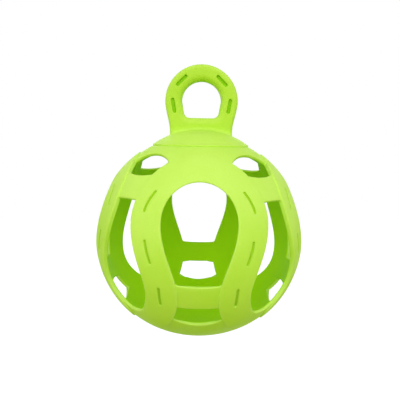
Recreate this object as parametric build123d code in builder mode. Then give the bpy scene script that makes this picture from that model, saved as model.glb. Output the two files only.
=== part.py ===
"""Hanging hay ball: a hollow rubber cage of four raised horseshoes, closed by a cap with a hanging loop.

Everything is drawn about the ball's centre and seated last, with the centre of the hanging eye as
the origin. The front horseshoe faces -Y, +X is to its right and +Z is up. What lies on the ball is
placed by azimuth, counted from its own shoe or corner, and by elevation, so it follows the ball's
size. The walls of every opening run straight at the ball's centre, as on a skin that was trimmed
and then thickened.
"""

import os
from math import atan2, cos, degrees, radians, sin, sqrt, tan

from build123d import *

# ---------------------------------------------------------------- driving dimensions, mm and degrees
BALL_RADIUS = 125.0  # outside of the raised horseshoes, at the equator
SHOE_RELIEF = 1.5  # how far a horseshoe stands above the skin
SKIN_WALL = 4.0  # wall of the skin between the horseshoes
FLATTEN_OFFSET = 7.8  # shift of the lower side arc's centre, which flattens the underside
FLATTEN_ANGLE = 45.0  # elevation below the equator where the underside's arc begins

# Horseshoe outline, as azimuth and elevation.
WINDOW_HALF_WIDTH = 19.3
WINDOW_WIDEST = 17.2
WINDOW_TOP = 36.4
WINDOW_FLANK = (16.45, 2.3)  # a point of the edge half-way down to the waist
SHOE_HALF_WIDTH = 37.2
SHOE_WIDEST = 20.3
SHOE_TOP = 54.2
SHOE_FLANK = (32.95, 0.3)
WAIST_INNER = (10.6, -20.3)
WAIST_OUTER = (28.55, -18.3)
HEEL_INNER = (19.4, -42.4)
HEEL_TIP = (29.9, -46.4)
HEEL_OUTER = (37.2, -39.2)

# Nail slots of one leg: azimuth and elevation of each centre, and lean of its long axis.
NAIL_SLOTS = ((27.4, 25.3, 19.4), (25.2, 1.0, -16.6), (20.4, -21.7, 2.5))
NAIL_SLOT_LENGTH = 22.5
NAIL_SLOT_WIDTH = 2.4
NAIL_SLOT_DEPTH = 1.8

# Heel crossbar, as elevations.
CROSSBAR_TOP_ENDS = -13.9
CROSSBAR_TOP_MIDDLE = -15.4
CROSSBAR_BOTTOM = -28.5

# Bridge bar, before its round cut and the shoes come off.
BRIDGE_HALF_WIDTH = 17.7
BRIDGE_BOTTOM = 25.6
BRIDGE_TOP = 42.6

# Round cutters of the skin, each as elevation of its axis and half-angle.
BRIDGE_TOP_CUT = (58.0, 19.2)
CROWN_ARCH_CUT = (34.3, 20.7)
HEEL_OPENING_CUT = (-20.0, 22.0)
SIDE_GAP_CUT = (-15.0, 21.5)
BOWL_TOP = -28.0  # elevations where the bowl ends and the crown begins
CROWN_FOOT = 46.0

# Cap and its seat in the crown.
CAP_RADIUS = 57.5
CAP_DOME_RADIUS = 98.0
CAP_EDGE = 1.6  # height of the cap's edge above the skin
CAP_WALL = 4.5
SPIGOT_RADIUS = 50.0
SPIGOT_WALL = 4.0
SPIGOT_LENGTH = 10.0
SPIGOT_CLEARANCE = 0.2

# Hanging loop. Levels are counted from the top of the cap's dome.
EYE_LEVEL = 33.0  # centre of the eye
EYE_RADIUS = 23.2
EYE_FLOOR = 19.6  # floor of the eye below its centre
EYE_FLOOR_HALF_WIDTH = 19.8
EYE_CORNER = 6.0
EYE_ROUNDING = 8.0  # of the edges that a rope runs over
LOOP_RADIUS = 43.2
LOOP_THICKNESS = 19.0
LOOP_ROUNDING = 5.0  # of the outer edges
NECK_HALF_WIDTH = 36.4
NECK_WAIST_LEVEL = -3.5  # the narrowest place
NECK_SEAM_LEVEL = 4.5  # where the cap's boss ends and the loop begins
NECK_FLARE = 4.0
LOOP_SLOT_ANGLES = (-10.0, 45.0, 135.0, 190.0)
LOOP_SLOT_CIRCLE = 33.5
LOOP_SLOT_LENGTH = 16.5
LOOP_SLOT_WIDTH = 3.0
LOOP_SLOT_DEPTH = 2.2

SIDES = ("front", "right", "back", "left")
CORNERS = ("front_right", "back_right", "back_left", "front_left")

# ---------------------------------------------------------------- sizes that follow
skin_radius = BALL_RADIUS - SHOE_RELIEF
inner_radius = skin_radius - SKIN_WALL
near_reach = inner_radius / 2  # the radial cutters start here, inside the hollow
far_reach = 2 * BALL_RADIUS - near_reach  # and end here, outside the ball
quarter = 360 / len(SIDES)
side_azimuths = [quarter * turn for turn in range(len(SIDES))]
corner_azimuths = [azimuth + quarter / 2 for azimuth in side_azimuths]

cap_seat = sqrt(skin_radius**2 - CAP_RADIUS**2)  # level of the cap's edge on the skin
rim_top = cap_seat + CAP_EDGE
dome_centre = rim_top - sqrt(CAP_DOME_RADIUS**2 - CAP_RADIUS**2)
dome_middle = Vector(0, 0, dome_centre)
cap_top = dome_centre + CAP_DOME_RADIUS
eye_height = cap_top + EYE_LEVEL
above_rim = rim_top + NECK_FLARE  # what is higher belongs to the neck


def facing(azimuth, elevation=0.0):
    """A plane through the ball's centre that faces outwards; azimuth 0 is the front."""
    turn, lift = radians(azimuth), radians(elevation)
    outwards = (sin(turn) * cos(lift), -cos(turn) * cos(lift), sin(lift))
    return Plane(origin=(0, 0, 0), x_dir=(cos(turn), sin(turn), 0), z_dir=outwards)


def spot(azimuth, elevation):
    """Where a direction meets the upright plane that touches the ball in front."""
    turn, lift = radians(azimuth), radians(elevation)
    return BALL_RADIUS * tan(turn), BALL_RADIUS * tan(lift) / cos(turn)


def ball(radius):
    """A solid ball, round above the equator and slightly flattened underneath."""
    side_radius = radius - FLATTEN_OFFSET
    base_height = FLATTEN_OFFSET * tan(radians(FLATTEN_ANGLE))
    base_radius = side_radius + FLATTEN_OFFSET / cos(radians(FLATTEN_ANGLE))
    with BuildPart() as solid:
        with BuildSketch(Plane.XZ):
            with BuildLine():
                crown = CenterArc((0, 0), radius, 90, -90)
                CenterArc((FLATTEN_OFFSET, 0), side_radius, 0, -FLATTEN_ANGLE)
                base = CenterArc((0, base_height), base_radius, -FLATTEN_ANGLE, FLATTEN_ANGLE - 90)
                Line(base @ 1, crown @ 0)
            make_face()
        revolve(axis=Axis.Z)
    return solid.part


def radial_prism(outline, azimuth):
    """A solid whose walls run at the ball's centre through an outline on the touching plane."""
    with BuildPart() as prism:
        for reach in (near_reach, far_reach):
            with BuildSketch(facing(azimuth).offset(reach)):
                add(outline)
                scale(by=reach / BALL_RADIUS, about=(0, 0, 0))
        loft(ruled=True)
    return prism.part


def radial_cone(azimuth, cut):
    """A round cutter with its tip at the ball's centre; cut is its axis elevation and half-angle."""
    elevation, half_angle = cut
    mouth = far_reach * tan(radians(half_angle))
    with BuildPart(facing(azimuth, elevation)) as cone:
        Cone(0, mouth, far_reach, align=(Align.CENTER, Align.CENTER, Align.MIN))
    return cone.part


def seat(solid, name):
    """Moves a finished piece so that the hanging eye is the origin, names it and writes it."""
    with BuildPart() as piece:
        with Locations((0, 0, -eye_height)):
            add(solid)
    piece.part.label = name
    export_step(piece.part, f"parts/{name}.step")


os.makedirs("parts", exist_ok=True)

# ---------------------------------------------------------------- the two shells that all is cut from
with BuildPart() as skin_shell:
    add(ball(skin_radius))
    add(ball(inner_radius), mode=Mode.SUBTRACT)

with BuildPart() as shoe_shell:
    add(ball(BALL_RADIUS))
    add(ball(inner_radius), mode=Mode.SUBTRACT)

# ---------------------------------------------------------------- horseshoes
with BuildSketch() as shoe_outline:
    window_widest = spot(WINDOW_HALF_WIDTH, WINDOW_WIDEST)
    shoe_widest = spot(SHOE_HALF_WIDTH, SHOE_WIDEST)
    window_rise = spot(0, WINDOW_TOP)[1] - window_widest[1]
    shoe_rise = spot(0, SHOE_TOP)[1] - shoe_widest[1]
    heel_inner, heel_outer = spot(*HEEL_INNER), spot(*HEEL_OUTER)
    waist_inner, waist_outer = spot(*WAIST_INNER), spot(*WAIST_OUTER)
    with BuildLine():
        EllipticalCenterArc((0, shoe_widest[1]), shoe_widest[0], shoe_rise, arc_size=90)
        Spline(shoe_widest, spot(*SHOE_FLANK), waist_outer, tangents=((0, -1), (0, -1)))
        Spline(waist_outer, heel_outer, tangents=((0, -1), (0, -1)))
        Spline(heel_outer, spot(*HEEL_TIP), heel_inner, tangents=((0, -1), (-0.4, 1)))
        Spline(heel_inner, waist_inner, tangents=((-0.4, 1), (0, 1)))
        Spline(waist_inner, spot(*WINDOW_FLANK), window_widest, tangents=((0, 1), (0, 1)))
        EllipticalCenterArc((0, window_widest[1]), window_widest[0], window_rise, arc_size=90)
        mirror(about=Plane.YZ)
    make_face()

shoe_prisms = [radial_prism(shoe_outline.sketch, azimuth) for azimuth in side_azimuths]

for side, azimuth, shoe_prism in zip(SIDES, side_azimuths, shoe_prisms):
    with BuildPart() as horseshoe:
        add(shoe_shell.part)
        add(shoe_prism, mode=Mode.INTERSECT)
        for hand in (-1, 1):
            for slot_azimuth, slot_elevation, lean in NAIL_SLOTS:
                slot_plane = facing(azimuth + hand * slot_azimuth, slot_elevation)
                with BuildSketch(slot_plane.offset(BALL_RADIUS - NAIL_SLOT_DEPTH)):
                    SlotOverall(NAIL_SLOT_LENGTH, NAIL_SLOT_WIDTH, rotation=90 + hand * lean)
                extrude(amount=2 * NAIL_SLOT_DEPTH, mode=Mode.SUBTRACT)
    seat(horseshoe.part, f"horseshoe_{side}")

# ---------------------------------------------------------------- heel crossbars
with BuildSketch() as crossbar_outline:
    reach = waist_outer[0] / 2
    turn = degrees(atan2(reach, BALL_RADIUS))
    top_ends, bottom = spot(turn, CROSSBAR_TOP_ENDS)[1], spot(0, CROSSBAR_BOTTOM)[1]
    with BuildLine():
        ThreePointArc((-reach, top_ends), spot(0, CROSSBAR_TOP_MIDDLE), (reach, top_ends))
        Line((reach, top_ends), (reach, bottom))
        Line((reach, bottom), (-reach, bottom))
        Line((-reach, bottom), (-reach, top_ends))
    make_face()

for side, azimuth, shoe_prism in zip(SIDES, side_azimuths, shoe_prisms):
    with BuildPart() as crossbar:
        add(skin_shell.part)
        add(radial_prism(crossbar_outline.sketch, azimuth), mode=Mode.INTERSECT)
        add(shoe_prism, mode=Mode.SUBTRACT)
    seat(crossbar.part, f"heel_crossbar_{side}")

# ---------------------------------------------------------------- bridge bars between the shoes
with BuildSketch() as bridge_outline:
    half_width = spot(BRIDGE_HALF_WIDTH, 0)[0]
    foot, head = spot(0, BRIDGE_BOTTOM)[1], spot(0, BRIDGE_TOP)[1]
    with Locations((0, foot)):
        Rectangle(2 * half_width, head - foot, align=(Align.CENTER, Align.MIN))

for index, (corner, azimuth) in enumerate(zip(CORNERS, corner_azimuths)):
    with BuildPart() as bridge:
        add(skin_shell.part)
        add(radial_prism(bridge_outline.sketch, azimuth), mode=Mode.INTERSECT)
        add(radial_cone(azimuth, BRIDGE_TOP_CUT), mode=Mode.SUBTRACT)
        add(shoe_prisms[index], mode=Mode.SUBTRACT)
        add(shoe_prisms[(index + 1) % len(SIDES)], mode=Mode.SUBTRACT)
    seat(bridge.part, f"bridge_bar_{corner}")

# ---------------------------------------------------------------- bowl that closes the underside
with BuildPart() as bowl:
    add(skin_shell.part)
    split(bisect_by=Plane.XY.offset(skin_radius * sin(radians(BOWL_TOP))), keep=Keep.BOTTOM)
    add(shoe_prisms, mode=Mode.SUBTRACT)
    for azimuth in side_azimuths:
        add(radial_cone(azimuth, HEEL_OPENING_CUT), mode=Mode.SUBTRACT)
    for azimuth in corner_azimuths:
        add(radial_cone(azimuth, SIDE_GAP_CUT), mode=Mode.SUBTRACT)
seat(bowl.part, "bottom_bowl")

# ---------------------------------------------------------------- crown around the cap
with BuildPart() as crown:
    add(skin_shell.part)
    split(bisect_by=Plane.XY.offset(skin_radius * sin(radians(CROWN_FOOT))), keep=Keep.TOP)
    add(shoe_prisms, mode=Mode.SUBTRACT)
    for azimuth in corner_azimuths:
        add(radial_cone(azimuth, CROWN_ARCH_CUT), mode=Mode.SUBTRACT)
    Cylinder(SPIGOT_RADIUS + SPIGOT_CLEARANCE, 2 * BALL_RADIUS, mode=Mode.SUBTRACT)
seat(crown.part, "crown_ring")

# ---------------------------------------------------------------- loop with its whole neck
with BuildPart() as hanger:
    with BuildSketch(Plane.XZ):
        neck = (NECK_HALF_WIDTH, cap_top + NECK_WAIST_LEVEL)
        with BuildLine():
            CenterArc((0, eye_height), LOOP_RADIUS, 0, 90)
            Spline((LOOP_RADIUS, eye_height), neck, tangents=((0, -1), (0, -1)))
            Line(neck, (NECK_HALF_WIDTH, rim_top))
            Line((NECK_HALF_WIDTH, rim_top), (0, rim_top))
            mirror(about=Plane.YZ)
        make_face()
    extrude(amount=LOOP_THICKNESS / 2, both=True)
    outer_rims = hanger.faces().filter_by(Axis.Y).edges().filter_by(lambda e: e.center().Z > above_rim)
    fillet(outer_rims, LOOP_ROUNDING)
    with BuildSketch(Plane.XZ) as eye_outline:
        floor = eye_height - EYE_FLOOR
        with BuildLine():
            CenterArc((0, eye_height), EYE_RADIUS, 0, 90)
            Line((EYE_RADIUS, eye_height), (EYE_FLOOR_HALF_WIDTH, floor))
            Line((EYE_FLOOR_HALF_WIDTH, floor), (0, floor))
            mirror(about=Plane.YZ)
        make_face()
        fillet(eye_outline.vertices().group_by(Axis.Y)[0].sort_by(Axis.X)[::2], EYE_CORNER)
    extrude(amount=LOOP_THICKNESS, both=True, mode=Mode.SUBTRACT)
    eye_rims = hanger.edges(Select.LAST).filter_by(lambda e: abs(e.center().Y) > LOOP_THICKNESS / 3)
    fillet(eye_rims, EYE_ROUNDING)
    for face in (-1, 1):
        with BuildSketch(Plane.XZ.offset(face * (LOOP_THICKNESS / 2 - LOOP_SLOT_DEPTH))):
            for angle in LOOP_SLOT_ANGLES:
                across, up = LOOP_SLOT_CIRCLE * cos(radians(angle)), LOOP_SLOT_CIRCLE * sin(radians(angle))
                with Locations((across, eye_height + up)):
                    SlotOverall(LOOP_SLOT_LENGTH, LOOP_SLOT_WIDTH, rotation=90 + angle)
        extrude(amount=2 * face * LOOP_SLOT_DEPTH, mode=Mode.SUBTRACT)

with BuildPart() as loop:
    add(hanger.part)
    split(bisect_by=Plane.XY.offset(cap_top + NECK_SEAM_LEVEL), keep=Keep.TOP)
seat(loop.part, "hanging_loop")

# ---------------------------------------------------------------- cap with the boss that carries the loop
with BuildPart() as boss:
    add(hanger.part)
    split(bisect_by=Plane.XY.offset(cap_top + NECK_SEAM_LEVEL), keep=Keep.BOTTOM)

with BuildPart() as cap:
    with BuildSketch(Plane.XZ):
        shoulder = sqrt(skin_radius**2 - SPIGOT_RADIUS**2)
        spigot_foot = shoulder - SPIGOT_LENGTH
        with BuildLine():
            RadiusArc((0, cap_top), (CAP_RADIUS, rim_top), CAP_DOME_RADIUS)
            Line((CAP_RADIUS, rim_top), (CAP_RADIUS, cap_seat))
            RadiusArc((CAP_RADIUS, cap_seat), (SPIGOT_RADIUS, shoulder), -skin_radius)
            Polyline((SPIGOT_RADIUS, shoulder), (SPIGOT_RADIUS, spigot_foot), (0, spigot_foot), (0, cap_top))
        make_face()
    revolve(axis=Axis.Z)
    add(boss.part)
    on_dome = cap.edges().filter_by(lambda e: abs((e @ 0.5 - dome_middle).length - CAP_DOME_RADIUS) < 0.01)
    fillet(on_dome.filter_by(lambda e: min((e @ 0).Z, (e @ 1).Z) > above_rim), NECK_FLARE)
    with BuildSketch(Plane.XZ):
        bore = SPIGOT_RADIUS - SPIGOT_WALL
        roof_radius = CAP_DOME_RADIUS - CAP_WALL
        roof_top = dome_centre + roof_radius
        roof_edge = dome_centre + sqrt(roof_radius**2 - bore**2)
        with BuildLine():
            RadiusArc((0, roof_top), (bore, roof_edge), roof_radius)
            Polyline((bore, roof_edge), (bore, spigot_foot), (0, spigot_foot), (0, roof_top))
        make_face()
    revolve(axis=Axis.Z, mode=Mode.SUBTRACT)
seat(cap.part, "top_cap")
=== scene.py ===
"""Hanging hay ball of lime-green rubber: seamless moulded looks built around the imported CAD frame.

The ball's pieces come from one flat drawing of an eighth of the ball (azimuth 0 to 45 degrees, from
the middle of a horseshoe to the middle of the gap beside it), which is triangulated, bent onto the
ball, mirrored and turned four times. Lengths are in mm from the ball's centre until a mesh is made.
"""

from math import atan, cos, degrees, pi, radians, sin, sqrt, tan

import bpy
import numpy as np
from mathutils import Matrix, Vector
from mathutils.geometry import delaunay_2d_cdt


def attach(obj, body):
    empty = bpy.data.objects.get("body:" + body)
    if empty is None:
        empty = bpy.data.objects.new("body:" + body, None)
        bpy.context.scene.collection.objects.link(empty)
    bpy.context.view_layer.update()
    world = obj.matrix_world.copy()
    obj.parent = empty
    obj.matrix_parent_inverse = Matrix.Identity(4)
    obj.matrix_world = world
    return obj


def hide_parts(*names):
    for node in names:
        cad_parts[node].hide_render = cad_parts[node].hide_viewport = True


# -------------------------------- sizes, as in the CAD
BALL_RADIUS = 125.0
SHOE_RELIEF = 1.5
SKIN_WALL = 4.0
FLATTEN_OFFSET = 7.8
FLATTEN_ANGLE = 45.0

# The horseshoe's outline, as azimuth and elevation. A nail slot also has its lean.
WINDOW_HALF_WIDTH, WINDOW_WIDEST, WINDOW_TOP = 19.3, 17.2, 36.4
WINDOW_FLANK = (16.45, 2.3)
SHOE_HALF_WIDTH, SHOE_WIDEST, SHOE_TOP = 37.2, 20.3, 54.2
SHOE_FLANK = (32.95, 0.3)
WAIST_INNER, WAIST_OUTER = (10.6, -20.3), (28.55, -18.3)
HEEL_INNER, HEEL_TIP, HEEL_OUTER = (19.4, -42.4), (29.9, -46.4), (37.2, -39.2)
NAIL_SLOTS = ((27.4, 25.3, 19.4), (25.2, 1.0, -16.6), (20.4, -21.7, 2.5))
NAIL_SLOT_LENGTH, NAIL_SLOT_WIDTH, NAIL_SLOT_DEPTH = 22.5, 2.4, 1.8

# Elevations of the bars' edges, and round cutters as elevation and half-angle.
CROSSBAR_TOP_ENDS, CROSSBAR_TOP_MIDDLE, CROSSBAR_BOTTOM = -13.9, -15.4, -28.5
BRIDGE_BOTTOM, BRIDGE_TOP = 25.6, 42.6
CROWN_ARCH_CUT = (34.3, 20.7)
HEEL_OPENING_CUT = (-20.0, 22.0)
SIDE_GAP_CUT = (-15.0, 21.5)

CAP_RADIUS, CAP_DOME_RADIUS, CAP_EDGE, CAP_WALL = 57.5, 98.0, 1.6, 4.5
SPIGOT_RADIUS, SPIGOT_WALL, SPIGOT_LENGTH, SPIGOT_CLEARANCE = 50.0, 4.0, 10.0, 0.2
EYE_LEVEL, EYE_RADIUS, EYE_FLOOR, EYE_FLOOR_HALF_WIDTH = 33.0, 23.2, 19.6, 19.8
EYE_CORNER, EYE_ROUNDING = 6.0, 8.0
LOOP_THICKNESS, LOOP_ROUNDING = 19.0, 5.0
NECK_HALF_WIDTH, NECK_WAIST_LEVEL, NECK_SEAM_LEVEL, NECK_FLARE = 36.4, -3.5, 4.5, 4.0
LOOP_SLOT_ANGLES = (-10.0, 45.0)  # on the right; the left ones are their mirror images
LOOP_SLOT_CIRCLE, LOOP_SLOT_LENGTH, LOOP_SLOT_WIDTH, LOOP_SLOT_DEPTH = 33.5, 16.5, 3.0, 2.2
SIDES = ("front", "right", "back", "left")
CORNERS = ("front_right", "back_right", "back_left", "front_left")

# -------------------------------- looks only: departures from the CAD
LOOP_RADIUS = 43.18  # a hair under the CAD's, so that the top stays inside its box
BRIDGE_TOP_CUT = (62.0, 22.9)  # one more round cutter, for a flatter lower edge of the upper holes
BOWL_TOP = -27.0  # the side gaps end a degree higher
WINDOW_PULL, WINDOW_REACH = 0.8, 8.0  # how much, and how far in mm, a window's walls run straight in
NECK_FULLNESS = 0.8  # at each side
LOW_FULLNESS, LOW_FULLNESS_START = 1.3, -12.0  # the ball is fuller below this elevation
NAIL_SLOT_EXTRA = (1.5, 1.5, 0.2)  # length added at each end of each slot
NAIL_SLOT_BOW = (1.0, 0.5, 0.0)  # how far each slot's middle bows out
NAIL_SLOT_EASE, LOOP_SLOT_EASE = 0.3, 0.5  # width added at each side of a slot

# -------------------------------- looks only: softness of the moulding
EDGE_ROUNDING = 1.3  # outer edges of the openings and shoes
INNER_ROUNDING = 1.0  # inner edges of the openings, and the spigot's foot
FOOT_FILLET, FOOT_RISE = 0.7, 0.2  # width and height of the soft foot of a shoe on the skin
OPENING_CORNER, HEEL_CORNER, HOLE_CORNER = 2.0, 1.0, 0.8
GAP_CORNER = 8.0  # where the bowl's rim runs into a shoe's leg
SLOT_LIP = (-0.45, -0.15, 0.0, 0.3, 0.6)  # distances in from a slot's edge
SLOT_FALL = (0.0, 0.06, 0.3, 0.9, 1.0)  # the shares of its depth that are reached there
RIM_ROUNDING = 0.8  # upper edge of the cap's rim
SEAM_GROOVE = 0.35  # undercut where the rim meets the crown
SPIGOT_CHAMFER = 0.3  # where the spigot meets the cap's seat
ROOF_FILLET = 2.0  # between the spigot's bore and the cap's ceiling

# -------------------------------- fineness of the meshes
ROUNDING_STEPS = (0.0, 0.08, 0.3, 0.62, 1.0)  # shares of a rounded edge's width that get a line
QUARTER_TURN = np.radians(np.linspace(0, 90, 8))  # steps round the loop's edges and the boss's flare
GRID_STEP = 0.25  # degrees, of the grid that the ball's level lines are found on
LOOP_GRID = (91, 150)  # columns and rows of the loop's grid
LOOP_MARGIN = 1.0  # of that grid round the loop
MESH_STEP = 3.3  # between the points that fill an area
ROW_HEIGHT = 0.87  # of a row of even-sided triangles, for sides of 1
FEWEST_ACROSS = 5  # points in a row
CAGE_SPACE, LOOP_SPACE = 0.45 * MESH_STEP, 0.2 * MESH_STEP  # between those points and any line
LONGEST_EDGE = 2.6  # along a line
OUTLINE_TOLERANCE = 0.015  # how far a line may leave its level
SNAP_REACH = 0.045  # how near a point's level is taken for its line's
WELD_DISTANCE, WELD_DIGITS = 0.005, 4  # in a drawing, and decimals where its copies meet
LOW_ELEVATION = -80.0  # the flat drawing ends here, and rings close the pole
POLE_RINGS = (-83.4, -86.7, -90.0)
CAP_COUNT = 144  # points in each ring of the cap
CORNER_STEPS, DOME_STEPS, CEILING_STEPS = 9, 10, 9  # of the cap: round a corner of its boss, and rings
FAN_REACH = 25.0  # the boss's directions, followed this far out, say where its points meet the rim
SEAT_RADII = (55.0, 52.5)  # of rings between the groove and the spigot
CEILING_HOLE = 2.0  # radius of the ceiling's last ring
SHARP_ANGLE = 42.0
PAST, FAR = 5.0, 900.0  # how far outlines are carried past the middle, and beyond the drawing
NEARBY = 0.5  # cosine of the angle within which a nail slot is looked for
SAME_PLACE, SLIGHT, TINY = 1e-6, 1e-3, 1e-12  # TINY keeps a divisor above 0

# -------------------------------- wear, and painted shade, for the material
WEAR_REACH, LOOP_WEAR_REACH, CAP_WEAR_RINGS = 2.0, 4.0, 2.0  # in mm, and in rings round the cap's rim
INSIDE = 1.0  # painted shade inside the ball, where 0 is the open
NAIL_SLOT_FLOOR, LOOP_SLOT_FLOOR = -1.0, -2.0  # painted shade on the floors of the slots

# -------------------------------- rubber; clouds mix the pairs
PAINTED_LIGHT_GREEN = (0.55, 0.86, 0.100), (0.60, 0.90, 0.130)  # painted light: paler where it faces up
PAINTED_SHADE_GREEN = (0.50, 0.86, 0.006), (0.54, 0.89, 0.014)  # painted shade: deeper where it faces down
# painted shade inside the ball: a deeper, more saturated green
INSIDE_PAINTED_SHADE_GREEN = (0.44, 0.80, 0.001), (0.48, 0.83, 0.002)
SPECK_TINTS = (0.965, 0.975, 0.93), (1.0, 1.0, 1.0)
RUBBED_GREEN = (0.62, 0.89, 0.14)
# painted shade on the floors of the nail slots and of the loop's slots
NAIL_SLOT_PAINTED_SHADE, LOOP_SLOT_PAINTED_SHADE = (0.38, 0.66, 0.012), (0.27, 0.62, 0.001)
# painted shade that darkens the hanging loop, its neck and the top of the ball near it
LOOP_PAINTED_SHADE = (0.88, 0.91, 0.62)
LOOP_PAINTED_SHADE_HEIGHTS = (-0.042, -0.030)  # in metres, where the loop's painted shade begins and where it is whole
FACING_DOWN_AND_UP = (-0.9, 0.5)  # heights of a normal at which it counts as facing down, and up, for the painted shade and light
CONTRAST = (0.35, 0.65)  # range of a noise that clouds and specks use
ROUGHNESS, GLOSS_RANGE = (0.50, 0.66), (0.3, 0.7)  # and the range of a noise that it follows
RUB_SHARES, RUB_RANGE = (0.1, 0.4), (0.4, 0.7)  # how rubbed an edge is, and the noise's range
REFRACTION, SPECULAR_LEVEL = 1.5, 0.1

# Noises as scale and detail, some with roughness. Bumps as strength and height in metres.
CLOUDS, SPECKS, RUBBING, GLOSS = (14, 3), (900, 2), (60, 4), (35, 5)
GRAIN, GRAIN_BUMP = (1400, 2), (0.6, 0.0002)
WAVES, WAVE_BUMP = (45, 2, 0.4), (0.35, 0.0015)

# -------------------------------- studio and camera, in metres and watts
FLOOR_DROP, FLOOR_REACH = 1.6, 9.0  # how far the floor is below the eye, and reaches to each side
FLOOR_GREY, FLOOR_ROUGHNESS = 0.62, 0.8
FLOOR_GLOW = 0.76  # makes the lit floor white to the camera; its shadows stay
ROOM_LIGHT = 0.48
LAMP_SIZE, LAMP_TARGET = 1.6, (0, 0, -0.15)
LAMPS = (
    ("key", (0.12, -1.25, 0.68), 14.4),
    ("fill", (-0.1, 1.4, 0.1), 6.0),
    ("left", (-1.5, -0.35, 0.1), 5.0),
    ("right", (1.5, -0.35, 0.1), 2.5),
)
CAMERA_PLACE = (0.0005, -0.6243, -0.0463)
CAMERA_PITCH, CAMERA_ROLL, CAMERA_YAW = 6.63, -1.12, -0.27  # degrees
CAMERA_LENS, CAMERA_SENSOR = 46.1, 36.0  # mm
CAMERA_CLIP = (0.01, 50.0)

# -------------------------------- sizes that follow
skin_radius = BALL_RADIUS - SHOE_RELIEF
inner_radius = skin_radius - SKIN_WALL
cap_seat = sqrt(skin_radius**2 - CAP_RADIUS**2)
rim_top = cap_seat + CAP_EDGE
dome_centre = rim_top - sqrt(CAP_DOME_RADIUS**2 - CAP_RADIUS**2)
cap_top = dome_centre + CAP_DOME_RADIUS
eye_height = cap_top + EYE_LEVEL
seam_height = cap_top + NECK_SEAM_LEVEL
spigot_hole = SPIGOT_RADIUS + SPIGOT_CLEARANCE
half_sector = 180 / len(SIDES)  # from a horseshoe's middle, at 0, to the middle of the gap beside it
top_elevation = 90 - degrees(atan(spigot_hole / sqrt(skin_radius**2 - spigot_hole**2)))


# -------------------------------- curves
def directions(azimuth, elevation):
    """Unit vectors from the ball's centre; azimuth 0 is the front, at -Y."""
    turn, lift = np.radians(azimuth), np.radians(elevation)
    return np.stack([np.sin(turn) * np.cos(lift), -np.cos(turn) * np.cos(lift), np.sin(lift)], -1)


def spot(azimuth, elevation):
    """Where a direction meets the upright plane that touches the ball in front."""
    turn, lift = radians(azimuth), radians(elevation)
    return BALL_RADIUS * tan(turn), BALL_RADIUS * tan(lift) / cos(turn)


def quarter_ellipse(centre, across, up, count=40):
    """Points from the top of an ellipse to its right end."""
    angle = np.linspace(pi / 2, 0, count)
    return np.stack([centre[0] + across * np.cos(angle), centre[1] + up * np.sin(angle)], -1)


def spline(points, start, end, count=24):
    """Points along a smooth curve through a few points, with its directions at both ends."""
    p = np.array(points, float)
    step = np.linalg.norm(np.diff(p, axis=0), axis=1)
    n = len(p)
    system, right = np.eye(n), np.zeros((n, 2))
    right[0], right[-1] = [np.array(t, float) / np.hypot(*t) for t in (start, end)]
    for i in range(1, n - 1):
        before, after = step[i - 1], step[i]
        system[i, i - 1 : i + 2] = after, 2 * (before + after), before
        right[i] = 3 * (after * (p[i] - p[i - 1]) / before + before * (p[i + 1] - p[i]) / after)
    slope = np.linalg.solve(system, right)
    s = np.linspace(0, 1, count)[:, None]
    runs = []
    for i in range(n - 1):
        rise = (2 * s**3 - 3 * s**2 + 1) * p[i] + (3 * s**2 - 2 * s**3) * p[i + 1]
        bend = (s**3 - 2 * s**2 + s) * slope[i] + (s**3 - s**2) * slope[i + 1]
        runs.append(rise + step[i] * bend)
    return np.concatenate(runs)


def joined(*lines):
    """Lines end to end, without doubled points."""
    line = np.concatenate(lines)
    fresh = np.linalg.norm(np.diff(line, axis=0), axis=1) > SAME_PLACE
    return line[np.concatenate([[True], fresh])]


def onto_ball(line):
    """Points of the touching plane, moved along their radii onto the ball."""
    p = np.stack([line[:, 0], np.full(len(line), -BALL_RADIUS), line[:, 1]], -1)
    return BALL_RADIUS * p / np.linalg.norm(p, axis=1)[:, None]


# -------------------------------- distances
def distance(points, line):
    """Shortest distance from each point to a line of points, in the plane or in space."""
    best = np.full(len(points), np.inf)
    for a, b in zip(line[:-1], line[1:]):
        run = b - a
        share = np.clip((points - a) @ run / max(run @ run, TINY), 0, 1)
        best = np.minimum(best, ((points - a - share[:, None] * run) ** 2).sum(1))
    return np.sqrt(best)


def inside(points, outline):
    """Which points of a plane lie inside a closed outline."""
    x, y = points[:, 0], points[:, 1]
    result = np.zeros(len(points), bool)
    for (ax, ay), (bx, by) in zip(outline, np.roll(outline, -1, axis=0)):
        if ay != by:
            result ^= ((ay > y) != (by > y)) & (x < ax + (bx - ax) * (y - ay) / (by - ay))
    return result


def signed(distances, positive):
    """Distances, made negative where they aren't to count as positive."""
    return np.where(positive, distances, -distances)


def rounded(a, b, radius):
    """Distance in from two edges together, with their corner rounded."""
    corner = np.hypot(np.maximum(radius - a, 0), np.maximum(radius - b, 0))
    return np.maximum(np.minimum(a, b), radius) - corner


def drop(depth, radius):
    """How far a rounded edge has fallen at this depth in from it."""
    reach = np.clip(radius - depth, 0, radius)
    return radius - np.sqrt(radius**2 - reach**2)


def fading(distances, reach):
    """1 at no distance, falling to nothing over a few times the reach."""
    return np.exp(-((distances / reach) ** 2))


def snapped(values, levels, reach=SNAP_REACH):
    """Values within reach of one of the levels, moved onto it."""
    for level in levels:
        values = np.where(np.abs(values - level) < reach, level, values)
    return values


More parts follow.
